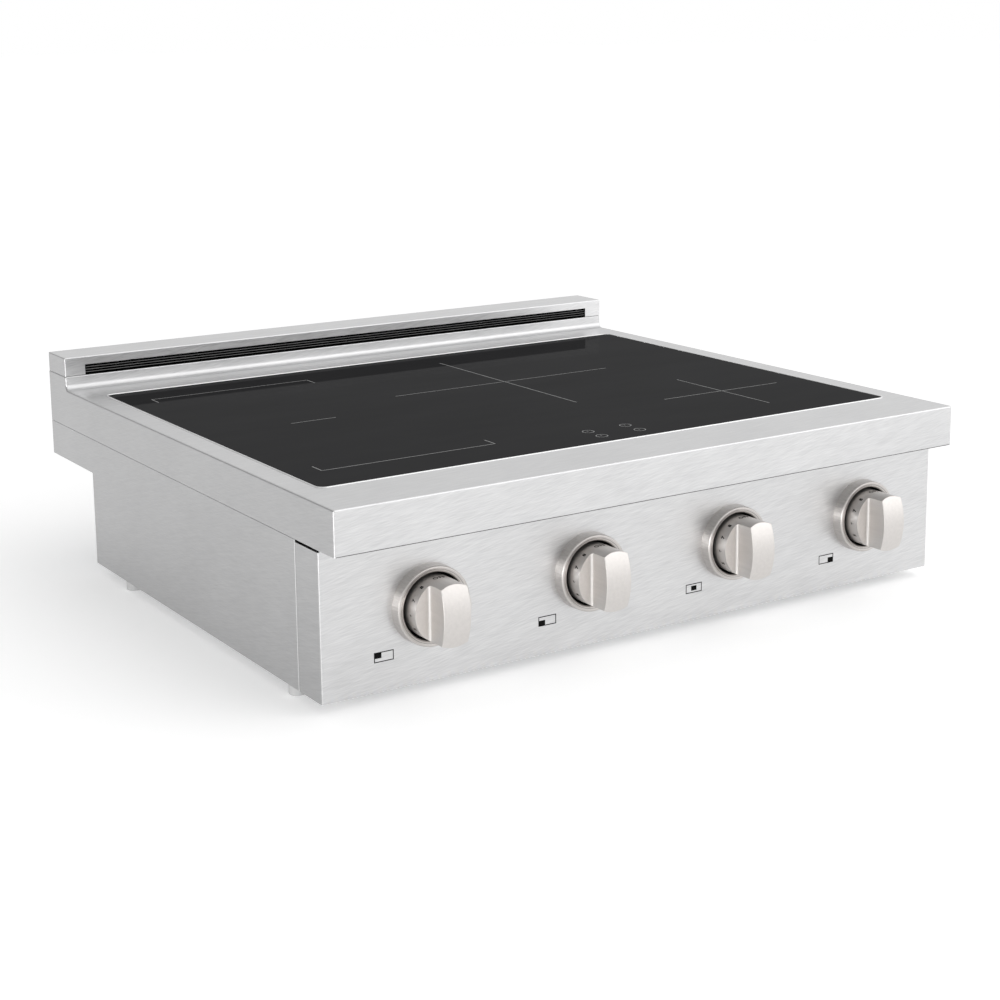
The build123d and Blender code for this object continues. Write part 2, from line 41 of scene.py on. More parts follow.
# ------------------------------------------------------------------ places taken from the frame
deck_low, deck_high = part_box("top_deck")
glass_low, glass_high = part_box("glass_top")
panel_low, panel_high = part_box("control_panel")
TRAY_FRONT = deck_low.y
DECK_Z = glass_high.z
PANEL_Y = panel_low.y
KNOBS = (1, 2, 3, 4)


def knob_centre(k):
    low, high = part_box(f"bezel_{k}")
    return Vector(((low.x + high.x) / 2, PANEL_Y, (low.z + high.z) / 2))


def on_deck(x, depth, lift=0.0):
    """A point on the deck, x from the centre and depth back from the tray's front edge."""
    return Vector((x, TRAY_FRONT + depth, DECK_Z + lift))


# ------------------------------------------------------------------ camera
CAMERA_SIDE, CAMERA_AHEAD, CAMERA_ABOVE = -1.1109, -1.4053, 0.4211
CAMERA_TURN, CAMERA_PITCH, CAMERA_ROLL = -33.73, 11.03, -0.42
CAMERA_LENS = 67.47
CAMERA_SHIFT = (-0.03, -0.12)


def make_camera():
    data = bpy.data.cameras.new("camera")
    data.sensor_width = 36.0
    data.lens = CAMERA_LENS
    data.shift_x, data.shift_y = CAMERA_SHIFT
    data.clip_start, data.clip_end = 0.05, 50.0
    camera = bpy.data.objects.new("camera", data)
    turn = Matrix.Rotation(math.radians(CAMERA_TURN), 4, "Z")
    pitch = Matrix.Rotation(math.radians(90 - CAMERA_PITCH), 4, "X")
    roll = Matrix.Rotation(math.radians(CAMERA_ROLL), 4, "Z")
    place = Matrix.Translation(on_deck(CAMERA_SIDE, CAMERA_AHEAD, CAMERA_ABOVE))
    camera.matrix_world = place @ turn @ pitch @ roll
    scene.collection.objects.link(camera)
    scene.camera = camera


# ------------------------------------------------------------------ studio
WORLD_LIGHT = (0.42, 1.26)
WORLD_FADE = -0.6
WORLD_BRIGHTEST = (0.90, 0.15, 0.40)
FLOOR_GLOW = 0.29
FLOOR_REACH = 30.0
SUN_LIGHT = 0.35
SUN_FROM = (0.75, -0.75, 1.1)
SUN_SOFTNESS = 50.0


def sun_light(name, direction, power, softness):
    data = bpy.data.lights.new(name, "SUN")
    data.energy = power
    data.angle = math.radians(softness)
    light = bpy.data.objects.new(name, data)
    light.rotation_euler = Vector(direction).to_track_quat("Z", "Y").to_euler()
    scene.collection.objects.link(light)


def area_light(name, place, target, size, power):
    data = bpy.data.lights.new(name, "AREA")
    data.shape = "RECTANGLE"
    data.size, data.size_y = size
    data.energy = power
    light = bpy.data.objects.new(name, data)
    light.location = place
    light.rotation_euler = (Vector(target) - Vector(place)).to_track_quat("-Z", "Y").to_euler()
    scene.collection.objects.link(light)


def make_world():
    world = bpy.data.worlds.new("studio")
    world.use_nodes = True
    scene.world = world
    tree = world.node_tree
    tree.nodes.clear()
    out = tree.nodes.new("ShaderNodeOutputWorld")
    seen = tree.nodes.new("ShaderNodeBackground")
    seen.inputs["Color"].default_value = (1, 1, 1, 1)
    seen.inputs["Strength"].default_value = 1.0
    lit = tree.nodes.new("ShaderNodeBackground")
    coordinates = tree.nodes.new("ShaderNodeTexCoord")
    toward = tree.nodes.new("ShaderNodeVectorMath")
    toward.operation = "DOT_PRODUCT"
    toward.inputs[1].default_value = Vector(WORLD_BRIGHTEST).normalized()
    level = tree.nodes.new("ShaderNodeMapRange")
    level.inputs["From Min"].default_value = WORLD_FADE
    level.inputs["From Max"].default_value = 1.0
    level.inputs["To Min"].default_value = WORLD_LIGHT[0]
    level.inputs["To Max"].default_value = WORLD_LIGHT[1]
    rays = tree.nodes.new("ShaderNodeLightPath")
    mix = tree.nodes.new("ShaderNodeMixShader")
    tree.links.new(coordinates.outputs["Generated"], toward.inputs[0])
    tree.links.new(toward.outputs["Value"], level.inputs["Value"])
    tree.links.new(level.outputs[0], lit.inputs["Strength"])
    tree.links.new(rays.outputs["Is Camera Ray"], mix.inputs["Fac"])
    tree.links.new(lit.outputs[0], mix.inputs[1])
    tree.links.new(seen.outputs[0], mix.inputs[2])
    tree.links.new(mix.outputs[0], out.inputs["Surface"])


def make_studio():
    make_world()
    mesh = bpy.data.meshes.new("studio_floor")
    reach = FLOOR_REACH
    mesh.from_pydata([(-reach, -reach, 0), (reach, -reach, 0), (reach, reach, 0), (-reach, reach, 0)],
                     [], [(0, 1, 2, 3)])
    floor = bpy.data.objects.new("studio_floor", mesh)
    scene.collection.objects.link(floor)
    white = plain("studio_white", (0.93, 0.93, 0.93), 0.9)
    shader = white.node_tree.nodes["shader"]
    shader.inputs["Specular IOR Level"].default_value = 0.0
    shader.inputs["Emission Color"].default_value = (1, 1, 1, 1)
    shader.inputs["Emission Strength"].default_value = FLOOR_GLOW
    mesh.materials.append(white)
    middle = (0, 0, 0.1)
    sun_light("key", SUN_FROM, SUN_LIGHT, SUN_SOFTNESS)
    area_light("front", (2.1, -2.9, 1.3), middle, (4.4, 2.4), 30)
    area_light("fold", (-2.3, -1.75, 0.25), (-0.38, -0.34, 0.15), (0.35, 0.5), 22)
    scene.view_settings.view_transform = "Standard"


# ------------------------------------------------------------------ material helpers
class Build:
    """A short way to write a material's nodes."""

    def __init__(self, name, base, metallic=0.0, roughness=0.5):
        self.material = bpy.data.materials.new(name)
        self.material.use_nodes = True
        self.tree = self.material.node_tree
        self.tree.nodes.clear()
        out = self.tree.nodes.new("ShaderNodeOutputMaterial")
        self.shader = self.tree.nodes.new("ShaderNodeBsdfPrincipled")
        self.shader.name = "shader"
        self.tree.links.new(self.shader.outputs[0], out.inputs["Surface"])
        self.set("Base Color", (*base, 1))
        self.set("Metallic", metallic)
        self.set("Roughness", roughness)

    def set(self, socket, value):
        self.shader.inputs[socket].default_value = value

    def link(self, source, socket):
        self.tree.links.new(source, self.shader.inputs[socket])

    def node(self, kind, inputs=None, **settings):
        node = self.tree.nodes.new(kind)
        for key, value in settings.items():
            setattr(node, key, value)
        for key, value in (inputs or {}).items():
            if isinstance(value, bpy.types.NodeSocket):
                self.tree.links.new(value, node.inputs[key])
            else:
                node.inputs[key].default_value = value
        return node

    def maths(self, operation, a, b=0.0, c=0.0):
        return self.node("ShaderNodeMath", {0: a, 1: b, 2: c}, operation=operation).outputs[0]

    def place(self):
        return self.node("ShaderNodeTexCoord").outputs["Object"]

    def scaled(self, vector, scale):
        return self.node("ShaderNodeVectorMath", {0: vector, 1: scale}, operation="MULTIPLY").outputs[0]

    def stretched(self, scale):
        """Object coordinates, scaled along each axis."""
        return self.scaled(self.place(), scale)

    def noise(self, vector, scale=1.0, detail=3.0, roughness=0.55):
        settings = {"Vector": vector, "Scale": scale, "Detail": detail, "Roughness": roughness}
        return self.node("ShaderNodeTexNoise", settings).outputs["Fac"]

    def spread(self, value, low, high, start=0.3, end=0.7):
        """Maps a noise value to a range."""
        settings = {"Value": value, "From Min": start, "From Max": end, "To Min": low, "To Max": high}
        return self.node("ShaderNodeMapRange", settings).outputs[0]

    def shade(self, factor, dark, light):
        """A colour between two colours."""
        mix = self.node("ShaderNodeMix", data_type="RGBA")
        mix.inputs["A"].default_value = (*dark, 1)
        mix.inputs["B"].default_value = (*light, 1)
        self.tree.links.new(factor, mix.inputs[0])
        return next(o for o in mix.outputs if o.type == "RGBA")

    def pick(self, factor, a, b):
        """Value or vector a where factor is 0 and b where it is 1."""
        kind = {"VECTOR": "VECTOR", "RGBA": "RGBA"}.get(a.type, "FLOAT")
        mix = self.node("ShaderNodeMix", data_type=kind)
        sockets = [s for s in mix.inputs if s.type == a.type and s.name in ("A", "B")]
        self.tree.links.new(factor, mix.inputs[0])
        self.tree.links.new(a, sockets[0])
        self.tree.links.new(b, sockets[1])
        return next(o for o in mix.outputs if o.type == a.type)

    def bump(self, height, strength, distance):
        node = self.node("ShaderNodeBump", {"Height": height, "Strength": strength, "Distance": distance})
        self.link(node.outputs[0], "Normal")


def plain(name, base, roughness):
    return Build(name, base, 0.0, roughness).material


def facing_side(b):
    """1 on faces that look left or right, 0 on the others."""
    normal = b.node("ShaderNodeTexCoord").outputs["Normal"]
    across = b.node("ShaderNodeSeparateXYZ", {0: normal}).outputs["X"]
    return b.maths("GREATER_THAN", b.maths("ABSOLUTE", across), 0.7)


# ------------------------------------------------------------------ metals
GRAIN_ALONG, GRAIN_ACROSS = 42.0, 880.0
GRAIN_SLOPES = (0.05, 0.27)
STEEL_DARK, STEEL_LIGHT = (0.575, 0.575, 0.58), (0.705, 0.705, 0.707)
# The cap's steel is painted lighter than the rest: painted light.
CAP_PAINTED_LIGHT = 1.06
# Faces that look left or right are painted darker: painted shade.
SIDE_PAINTED_SHADE = 0.745
# Width of the near-white band along the side panels' front edge: painted highlight.
EDGE_HIGHLIGHT_WIDTH = 0.0013


def grain_place(b, side, slope):
    """Object coordinates sheared so that the streaks climb by slope along their length."""
    here = b.node("ShaderNodeSeparateXYZ", {0: b.place()}).outputs
    normal = b.node("ShaderNodeTexCoord").outputs["Normal"]
    up = b.node("ShaderNodeSeparateXYZ", {0: normal}).outputs["Z"]
    flat = b.maths("GREATER_THAN", b.maths("ABSOLUTE", up), 0.7)
    along = b.pick(side, here["X"], b.maths("MULTIPLY", here["Y"], -1.0))
    climb = b.maths("MULTIPLY", along, slope)
    back = b.maths("MULTIPLY", climb, flat)
    y = b.maths("SUBTRACT", here["Y"], back)
    z = b.maths("SUBTRACT", here["Z"], b.maths("SUBTRACT", climb, back))
    sheared = b.node("ShaderNodeCombineXYZ", {0: here["X"], 1: y, 2: z}).outputs[0]
    across = b.scaled(sheared, (GRAIN_ALONG, GRAIN_ACROSS, GRAIN_ACROSS))
    return b.pick(side, across, b.scaled(sheared, (GRAIN_ACROSS, GRAIN_ALONG, GRAIN_ACROSS)))


def brushed_stainless(name, highlight_edge_y=None, lift=1.0):
    """Sheet steel brushed in short strokes: across the front and deck, front to back on the sides. Faces
    that look left or right carry painted shade, and the lift and the front-edge band paint light in.
    """
    b = Build(name, (0.6, 0.6, 0.6), 1.0, 0.34)
    side = facing_side(b)
    straight, slanted = (grain_place(b, side, slope) for slope in GRAIN_SLOPES)
    fine = b.noise(straight, 1.0, 2.0, 0.6)
    crossed = b.noise(slanted, 0.9, 2.0, 0.6)
    broad = b.noise(b.place(), 11.0, 2.0, 0.5)
    streaks = b.maths("ADD", b.maths("MULTIPLY", fine, 0.5), b.maths("MULTIPLY", crossed, 0.5))
    tone = b.maths("ADD", b.maths("MULTIPLY", streaks, 0.85), b.maths("MULTIPLY", broad, 0.15))
    level = b.spread(tone, 0.0, 1.0, 0.36, 0.64)
    # Tones raised by lift, which paints light onto the cap.
    lifted = [tuple(c * lift for c in colour) for colour in (STEEL_DARK, STEEL_LIGHT)]
    # Darker copies of the tones for faces that look left or right: painted shade.
    shaded = [tuple(c * SIDE_PAINTED_SHADE for c in colour) for colour in (STEEL_DARK, STEEL_LIGHT)]
    colour = b.pick(side, b.shade(level, *lifted), b.shade(level, *shaded))
    # A near-white band along the front edge: painted highlight.
    if highlight_edge_y is not None:
        depth = b.node("ShaderNodeSeparateXYZ", {0: b.place()}).outputs["Y"]
        edge = b.maths("LESS_THAN", depth, highlight_edge_y + EDGE_HIGHLIGHT_WIDTH)
        colour = b.pick(edge, colour, b.shade(level, (0.9, 0.9, 0.9), (0.97, 0.97, 0.97)))
    b.link(colour, "Base Color")
    b.link(b.spread(streaks, 0.31, 0.43), "Roughness")
    b.bump(streaks, 0.03, 0.0001)
    return b.material


def satin_nickel(name, base, grain=(60.0, 60.0, 60.0), rough=(0.38, 0.48)):
    b = Build(name, base, 1.0, 0.3)
    soft = b.noise(b.stretched(grain), 1.0, 3.0, 0.5)
    fine = b.noise(b.stretched((900.0, 900.0, 900.0)), 1.0, 2.0, 0.6)
    light = tuple(min(1.0, c * 1.03) for c in base)
    dark = tuple(c * 0.97 for c in base)
    b.link(b.shade(b.spread(soft, 0.0, 1.0), dark, light), "Base Color")
    b.link(b.spread(fine, *rough), "Roughness")
    b.bump(fine, 0.03, 0.0001)
    return b.material


# Radius and width of the dark ring on the bezel rim: painted shade.
GROOVE_SHADE_RADIUS, GROOVE_SHADE_WIDTH = 0.0352, 0.0005


def turned_nickel(name, base, centre):
    """Bezel metal with the lathe's fine rings, and a dark ring of painted shade where a groove would run
    round the rim.
    """
    b = Build(name, base, 1.0, 0.42)
    here = b.node("ShaderNodeSeparateXYZ", {0: b.place()}).outputs
    dx = b.maths("SUBTRACT", here["X"], centre.x)
    dz = b.maths("SUBTRACT", here["Z"], centre.z)
    squares = b.maths("ADD", b.maths("MULTIPLY", dx, dx), b.maths("MULTIPLY", dz, dz))
    radius = b.maths("SQRT", squares)
    turn = b.maths("ARCTAN2", dz, dx)
    rings = b.node("ShaderNodeCombineXYZ", {0: b.maths("MULTIPLY", radius, 1900.0),
                                            1: b.maths("MULTIPLY", turn, 26.0), 2: 0.0}).outputs[0]
    lines = b.noise(rings, 1.0, 2.0, 0.6)
    off_groove = b.maths("ABSOLUTE", b.maths("SUBTRACT", radius, GROOVE_SHADE_RADIUS))
    groove_shade = b.maths("LESS_THAN", off_groove, GROOVE_SHADE_WIDTH / 2)
    dark = tuple(c * 0.86 for c in base)
    colour = b.shade(b.spread(lines, 0.0, 1.0), dark, tuple(c * 1.08 for c in base))
    # The ring's colour is a darker copy of the metal: painted shade.
    shadow = b.shade(groove_shade, (0, 0, 0), tuple(c * 0.45 for c in base))
    b.link(b.pick(groove_shade, colour, shadow), "Base Color")
    b.link(b.spread(lines, 0.36, 0.48), "Roughness")
    b.bump(lines, 0.04, 0.0001)
    return b.material


FRONT_SKIN = 0.0003
GRILLE_FRAME = 0.0015
# Half the width of the painted highlight line on each bar.
BAR_HIGHLIGHT = 0.0003


def black_louvre():
    """Black insert with a thin painted highlight line along each long bar."""
    low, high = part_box("vent_grille")
    b = Build("black_louvre", (0.004, 0.004, 0.004), 0.0, 0.6)
    b.set("Specular IOR Level", 0.0)
    here = b.node("ShaderNodeSeparateXYZ", {0: b.place()})
    front = b.maths("LESS_THAN", here.outputs["Y"], low.y + FRONT_SKIN)
    above = b.maths("GREATER_THAN", here.outputs["Z"], low.z + GRILLE_FRAME)
    below = b.maths("LESS_THAN", here.outputs["Z"], high.z - GRILLE_FRAME)
    mottle = b.noise(b.stretched((40.0, 300.0, 300.0)), 1.0, 2.0)
    pitch = (high.z - low.z) / 4
    rows = b.maths("DIVIDE", b.maths("SUBTRACT", here.outputs["Z"], low.z), pitch)
    off_row = b.maths("ABSOLUTE", b.maths("SUBTRACT", b.maths("FRACT", b.maths("ADD", rows, 0.5)), 0.5))
    # Thin lighter lines along the long bars: painted highlight.
    highlight_rows = b.maths("LESS_THAN", off_row, BAR_HIGHLIGHT / pitch)
    bars = b.maths("MULTIPLY", b.maths("MULTIPLY", b.maths("MULTIPLY", front, above), below), highlight_rows)
    lit = b.maths("MULTIPLY", bars, b.spread(mottle, 0.8, 1.0))
    b.link(b.shade(lit, (0.002, 0.002, 0.002), (0.2, 0.2, 0.2)), "Base Color")
    return b.material


def glass_ceramic():
    b = Build("black_glass_ceramic", (0.026, 0.026, 0.027), 0.0, 0.16)
    b.set("Specular IOR Level", 0.0)
    b.set("Coat Weight", 0.06)
    b.set("Coat Roughness", 0.03)
    smear = b.noise(b.stretched((3.0, 9.0, 1.0)), 2.0, 3.0, 0.55)
    b.link(b.shade(b.spread(smear, 0.0, 1.0), (0.025, 0.025, 0.026), (0.029, 0.029, 0.030)), "Base Color")
    b.link(b.spread(smear, 0.12, 0.22), "Roughness")
    return b.material


def moulded(name, base, roughness=0.55, pitch=700.0, depth=0.00015):
    """Moulded plastic or rubber with a fine eroded texture."""
    b = Build(name, base, 0.0, roughness)
    fine = b.noise(b.place(), pitch, 3.0, 0.6)
    cloud = b.noise(b.place(), 22.0, 2.0, 0.5)
    light = tuple(min(1.0, c * 1.12 + 0.004) for c in base)
    dark = tuple(c * 0.88 for c in base)
    b.link(b.shade(b.spread(cloud, 0.0, 1.0), dark, light), "Base Color")
    b.link(b.spread(fine, roughness - 0.07, roughness + 0.07), "Roughness")
    b.bump(fine, 0.35, depth)
    return b.material


def zinc_sheet():
    """Galvanised sheet with its crystal spangle."""
    b = Build("galvanised_sheet", (0.5, 0.51, 0.52), 1.0, 0.45)
    crystals = b.node("ShaderNodeTexVoronoi", {"Vector": b.place(), "Scale": 150.0}).outputs["Color"]
    level = b.node("ShaderNodeSeparateXYZ", {0: crystals}).outputs["X"]
    cloud = b.noise(b.place(), 14.0, 3.0)
    tone = b.maths("ADD", b.maths("MULTIPLY", level, 0.4), b.maths("MULTIPLY", cloud, 0.6))
    b.link(b.shade(b.spread(tone, 0.0, 1.0), (0.46, 0.47, 0.48), (0.60, 0.61, 0.62)), "Base Color")
    b.link(b.spread(tone, 0.36, 0.54), "Roughness")
    return b.material


def mill_metal(name, base, roughness, grain):
    b = Build(name, base, 1.0, roughness)
    lines = b.noise(b.stretched(grain), 1.0, 3.0, 0.6)
    dark = tuple(c * 0.85 for c in base)
    b.link(b.shade(b.spread(lines, 0.0, 1.0), dark, base), "Base Color")
    b.link(b.spread(lines, roughness - 0.06, roughness + 0.1), "Roughness")
    b.bump(lines, 0.15, 0.0002)
    return b.material


def copper_litz():
    b = Build("copper_litz", (0.62, 0.27, 0.12), 1.0, 0.38)
    strands = b.noise(b.stretched((160.0, 160.0, 1400.0)), 1.0, 3.0, 0.6)
    b.link(b.shade(b.spread(strands, 0.0, 1.0), (0.42, 0.16, 0.07), (0.74, 0.36, 0.17)), "Base Color")
    b.link(b.spread(strands, 0.3, 0.5), "Roughness")
    b.bump(strands, 0.4, 0.0003)
    return b.material


def circuit_board():
    """Green laminate, with darker copper areas under the lacquer."""
    b = Build("circuit_board", (0.02, 0.16, 0.07), 0.0, 0.35)
    tracks = b.node("ShaderNodeTexVoronoi", {"Vector": b.place(), "Scale": 120.0},
                    distance="CHEBYCHEV").outputs["Distance"]
    lacquer = b.shade(b.spread(tracks, 0.0, 1.0, 0.25, 0.35), (0.012, 0.11, 0.05), (0.02, 0.19, 0.085))
    b.link(lacquer, "Base Color")
    b.bump(tracks, 0.2, 0.0002)
    return b.material


# ------------------------------------------------------------------ making pieces
def new_mesh(name, bm, material, body, smooth_angle=None):
    mesh = bpy.data.meshes.new(name)
    bm.normal_update()
    bm.to_mesh(mesh)
    bm.free()
    mesh.materials.append(material)
    piece = bpy.data.objects.new(name, mesh)
    scene.collection.objects.link(piece)
    if smooth_angle is not None:
        mesh.shade_smooth()
        mesh.set_sharp_from_angle(angle=math.radians(smooth_angle))
    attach(piece, body)
    return piece


def paint(node, material):
    """Gives a CAD node its finished material."""
    slots = nodes[node].data.materials
    slots.clear()
    slots.append(material)


def strip(bm, a, b, width, up):
    """A flat printed line from a to b, width wide, lying square to up."""
    a, b = Vector(a), Vector(b)
    across = (b - a).cross(Vector(up)).normalized() * width / 2
    corners = [bm.verts.new(p) for p in (a - across, b - across, b + across, a + across)]
    face = bm.faces.new(corners)
    face.normal_update()
    if face.normal.dot(Vector(up)) < 0:
        face.normal_flip()


# ------------------------------------------------------------------ marks on the glass
PRINT_LIFT = 0.00006
GLASS_LINE = 0.0013


def glass_marks(material):
    """Zone brackets, a short bar and crosses fired onto the glass."""
    bm = bmesh.new()
    up = (0, 0, 1)

    def line(x0, y0, x1, y1, width=GLASS_LINE):
        strip(bm, on_deck(x0, y0, PRINT_LIFT), on_deck(x1, y1, PRINT_LIFT), width, up)

    left, right = -0.3195, -0.125
    rear, front, tick = 0.545, 0.135, 0.020
    for edge, inward in ((rear, -tick), (front, tick)):
        line(left, edge, right, edge)
        for end in (left, right):
            line(end, edge, end, edge + inward)
    line(-0.2484, 0.340, -0.1957, 0.340)
    for cx, cy, arm in ((0.0588, 0.4004, 0.1465), (0.2294, 0.2100, 0.0822)):
        line(cx - arm, cy, cx + arm, cy)
        line(cx, cy - arm, cx, cy + arm)
    return new_mesh("glass_marks", bm, material, "chassis")


def ring_outline(bm, centre, radius, width, steps=40):
    inner, outer = [], []
    for n in range(steps):
        turn = 2 * math.pi * n / steps
        direction = Vector((math.cos(turn), math.sin(turn), 0))
        inner.append(bm.verts.new(centre + direction * (radius - width / 2)))
        outer.append(bm.verts.new(centre + direction * (radius + width / 2)))
    for n in range(steps):
        m = (n + 1) % steps
        bm.faces.new((inner[n], outer[n], outer[m], inner[m]))


def touch_marks(material):
    """Four round touch keys, each with one short plain stroke."""
    bm = bmesh.new()
    for x, y in ((-0.017, 0.126), (-0.017, 0.102), (0.032, 0.128), (0.032, 0.103)):
        ring_outline(bm, on_deck(x, y, PRINT_LIFT), 0.0060, 0.0010)
        strip(bm, on_deck(x, y, PRINT_LIFT), on_deck(x, y + 0.003, PRINT_LIFT), 0.0009, (0, 0, 1))
    return new_mesh("touch_marks", bm, material, "chassis")


# ------------------------------------------------------------------ prints on the control panel
ICON_WIDTH, ICON_HEIGHT, ICON_LINE = 0.0207, 0.0098, 0.0009
ICON_DROP = 0.0418
ICON_LEFT = 0.0480
ICON_CELL = ICON_WIDTH / 3
ICON_SPOTS = {1: (0.0, 1.0), 2: (0.0, 0.0), 3: (0.5, 0.5), 4: (1.0, 0.0)}


def panel_icons(material):
    """A small plan of the cooktop beside each knob, with its own zone filled in."""
    bm = bmesh.new()
    up = (0, -1, 0)
    y = PANEL_Y - PRINT_LIFT
    for k in KNOBS:
        centre = knob_centre(k)
        x0 = centre.x - ICON_LEFT - ICON_WIDTH / 2
        z0 = centre.z - ICON_DROP - ICON_HEIGHT / 2
        x1, z1 = x0 + ICON_WIDTH, z0 + ICON_HEIGHT
        half_line = ICON_LINE / 2
        strip(bm, (x0, y, z0 + half_line), (x1, y, z0 + half_line), ICON_LINE, up)
        strip(bm, (x0, y, z1 - half_line), (x1, y, z1 - half_line), ICON_LINE, up)
        strip(bm, (x0 + half_line, y, z0 + ICON_LINE), (x0 + half_line, y, z1 - ICON_LINE), ICON_LINE, up)
        strip(bm, (x1 - half_line, y, z0 + ICON_LINE), (x1 - half_line, y, z1 - ICON_LINE), ICON_LINE, up)
        across, high = ICON_SPOTS[k]
        cell_high = (ICON_HEIGHT - 2 * ICON_LINE) * 0.62
        cx = x0 + ICON_LINE + ICON_CELL / 2 + across * (ICON_WIDTH - 2 * ICON_LINE - ICON_CELL)
        low = z0 + ICON_LINE + high * (ICON_HEIGHT - 2 * ICON_LINE - cell_high)
        strip(bm, (cx, y, low), (cx, y, low + cell_high), ICON_CELL, up)
    return new_mesh("zone_icons", bm, material, "chassis")


# ------------------------------------------------------------------ knob numbers and painted shade in the bezel gaps
DIAL_RADIUS = 0.0300
DIAL_OUT = 0.0205
DIAL_LIFT = 0.00008
FIRST_DIGIT, DIGIT_STEP = 38.0, 27.0
DIGITS = "87654321"
DIGIT_SIZE, OFF_SIZE, OFF_SPACING = 0.0060, 0.0064, 1.2


def letter_mesh(text, size, spacing):
    """The flat outline of a word, centred on the origin."""
    data = bpy.data.curves.new("letters", "FONT")
    data.body = text
    data.size = size
    data.align_x, data.align_y = "CENTER", "CENTER"
    data.offset = size * 0.04
    data.space_character = spacing
    word = bpy.data.objects.new("letters", data)
    scene.collection.objects.link(word)
    bpy.context.view_layer.update()
    mesh = bpy.data.meshes.new_from_object(word.evaluated_get(bpy.context.evaluated_depsgraph_get()))
    bpy.data.objects.remove(word)
    bpy.data.curves.remove(data)
    return mesh


def dial_marks(k, material):
    """OFF and the heat levels, printed round the knob's wall with their feet to the front."""
    bm = bmesh.new()
    centre = knob_centre(k)
    labels = [("OFF", 0.0, OFF_SIZE, OFF_SPACING)]
    labels += [(d, FIRST_DIGIT + n * DIGIT_STEP, DIGIT_SIZE, 1.0) for n, d in enumerate(DIGITS)]
    for text, angle, size, spacing in labels:
        flat = letter_mesh(text, size, spacing)
        first = len(bm.verts)
        bm.from_mesh(flat)
        bm.verts.ensure_lookup_table()
        for vert in bm.verts[first:]:
            turn = vert.co.x / DIAL_RADIUS - math.radians(angle)
            reach = DIAL_RADIUS + DIAL_LIFT
            out = DIAL_OUT - vert.co.y
            vert.co = centre + Vector((reach * math.sin(turn), -out, reach * math.cos(turn)))
        bpy.data.meshes.remove(flat)
    return new_mesh(f"dial_marks_{k}", bm, material, f"dial_{k}")


def lathe(name, profile, centre, material, body, steps=96, smooth=35):
    """A ring turned about the knob's axis from closed (radius, distance out) points."""
    bm = bmesh.new()
    rings = []
    for n in range(steps):
        turn = 2 * math.pi * n / steps
        rings.append([bm.verts.new(centre + Vector((r * math.cos(turn), -out, r * math.sin(turn))))
                      for r, out in profile])
    count = len(profile)
    for n in range(steps):
        here, there = rings[n], rings[(n + 1) % steps]
        for m in range(count):
            bm.faces.new((here[m], here[(m + 1) % count], there[(m + 1) % count], there[m]))
    bmesh.ops.recalc_face_normals(bm, faces=bm.faces)
    return new_mesh(name, bm, material, body, smooth)


def bezel_gap_shade(k, material):
    """Black sleeve and washer set in the bezel behind the knob: painted shade for its dark gap."""
    outer, inner, hole = 0.0324, 0.0319, 0.0095
    back, floor, mouth = 0.00125, 0.0016, 0.0098
    profile = [(hole, back), (outer, back), (outer, mouth), (inner, mouth), (inner, floor), (hole, floor)]
    lathe(f"bezel_gap_shade_{k}", profile, knob_centre(k), material, "chassis")


# ------------------------------------------------------------------ rolled edge round the glass
def rounded_outline(half_x, half_y, centre, corner, arc_steps=10):
    """Points of a rounded rectangle, counterclockwise, with the outward direction at each."""
    points = []
    for sx, sy, start in ((1, 1, 0), (-1, 1, 90), (-1, -1, 180), (1, -1, 270)):
        middle = centre + Vector((sx * (half_x - corner), sy * (half_y - corner), 0))
        for n in range(arc_steps + 1):
            turn = math.radians(start + 90 * n / arc_steps)
            outward = Vector((math.cos(turn), math.sin(turn), 0))
            points.append((middle + outward * corner, outward))
    return points


ROLL_SINK = 0.00002


def rolled_edge(material):
    """The deck's edge rolled up by a fraction of a millimetre round the glass."""
    low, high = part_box("glass_seal")
    half_x, half_y = (high.x - low.x) / 2, (high.y - low.y) / 2
    centre = Vector(((low.x + high.x) / 2, (low.y + high.y) / 2, DECK_Z))
    corner, width, rise, steps = 0.008, 0.0016, 0.0008, 8
    bm = bmesh.new()
    rows = []
    for point, outward in rounded_outline(half_x, half_y, centre, corner):
        row = []
        for n in range(steps + 1):
            turn = math.pi * n / steps
            across = width / 2 * (1 - math.cos(turn))
            lift = Vector((0, 0, rise * math.sin(turn) - ROLL_SINK))
            row.append(bm.verts.new(point + outward * across + lift))
        rows.append(row)
    for n, here in enumerate(rows):
        there = rows[(n + 1) % len(rows)]
        for m in range(steps):
            bm.faces.new((here[m], here[m + 1], there[m + 1], there[m]))
        bm.faces.new((here[steps], here[0], there[0], there[steps]))
    bmesh.ops.recalc_face_normals(bm, faces=bm.faces)
    return new_mesh("rolled_glass_edge", bm, material, "chassis", 50)


# Height and offset of the dark strip under the deck's front fold: painted shade.
EDGE_SHADE_HEIGHT, EDGE_SHADE_LIFT = 0.0007, 0.00006


def skirt_edge_shade(material):
    """A dark strip along the bottom of the deck's front fold: painted shade at its edge."""
    bm = bmesh.new()
    inset = 0.002
    y, z = deck_low.y - EDGE_SHADE_LIFT, deck_low.z + EDGE_SHADE_HEIGHT / 2
    strip(bm, (deck_low.x + inset, y, z), (deck_high.x - inset, y, z), EDGE_SHADE_HEIGHT, (0, -1, 0))
    return new_mesh("skirt_edge_shade", bm, material, "chassis")


# ------------------------------------------------------------------ run
make_camera()
make_studio()

